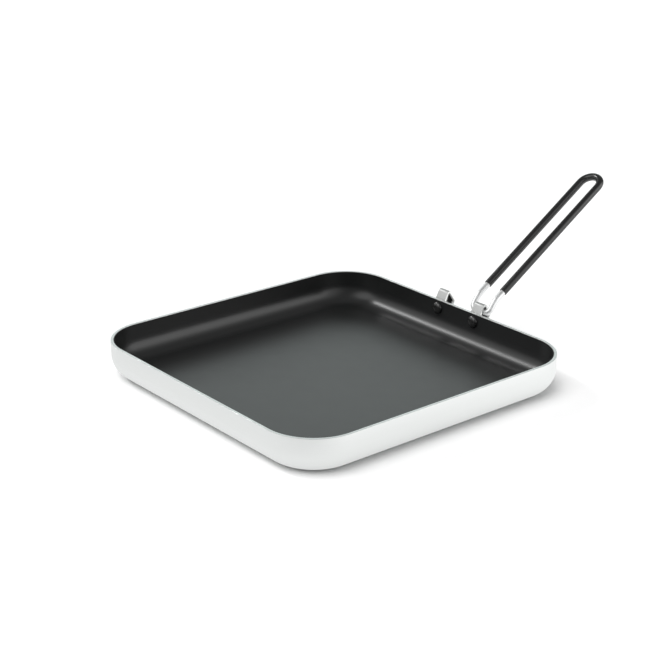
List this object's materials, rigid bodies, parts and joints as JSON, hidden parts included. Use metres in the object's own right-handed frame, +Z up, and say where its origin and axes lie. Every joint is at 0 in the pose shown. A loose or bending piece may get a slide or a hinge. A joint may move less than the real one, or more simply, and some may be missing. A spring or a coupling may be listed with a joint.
{
  "type": "square frying pan",
  "caption": "Shallow square frying pan with rounded corners, a dark non-stick lining, strap brackets riveted to the wall and a tilted wire handle with a black grip that folds in over the pan.",
  "frame": {"origin": "middle of the flat underside of the base, on the surface that the pan stands on", "axes": "+X points at the wall with the brackets and the handle, +Z up out of the pan, +Y to the left when looking along +X"},
  "size_m": [0.4258, 0.28, 0.128],
  "materials": {
    "pan_aluminium": "satin, bare",
    "nonstick_coating": "smooth, semi-gloss, baked on",
    "bracket_steel": "bright, fine grain",
    "rivet_aluminium": "black, semi-gloss",
    "handle_steel": "bright drawn wire",
    "grip_rubber": "black, semi-matte"
  },
  "bodies": {
    "pan": {"pan_body": "pan_aluminium", "nonstick_coating": "nonstick_coating", "left_bracket": "bracket_steel", "right_bracket": "bracket_steel", "left_rivet": "rivet_aluminium", "right_rivet": "rivet_aluminium"},
    "handle": {"handle_wire": "handle_steel", "grip_sleeve": "grip_rubber"}
  },
  "joints": [
    {"name": "handle_fold", "type": "hinge", "parent": "pan", "child": "handle", "pos_m": [0.14593, -0.0218, 0.03187], "axis": [0, -1, 0], "range_deg": [0, 105]}
  ]
}
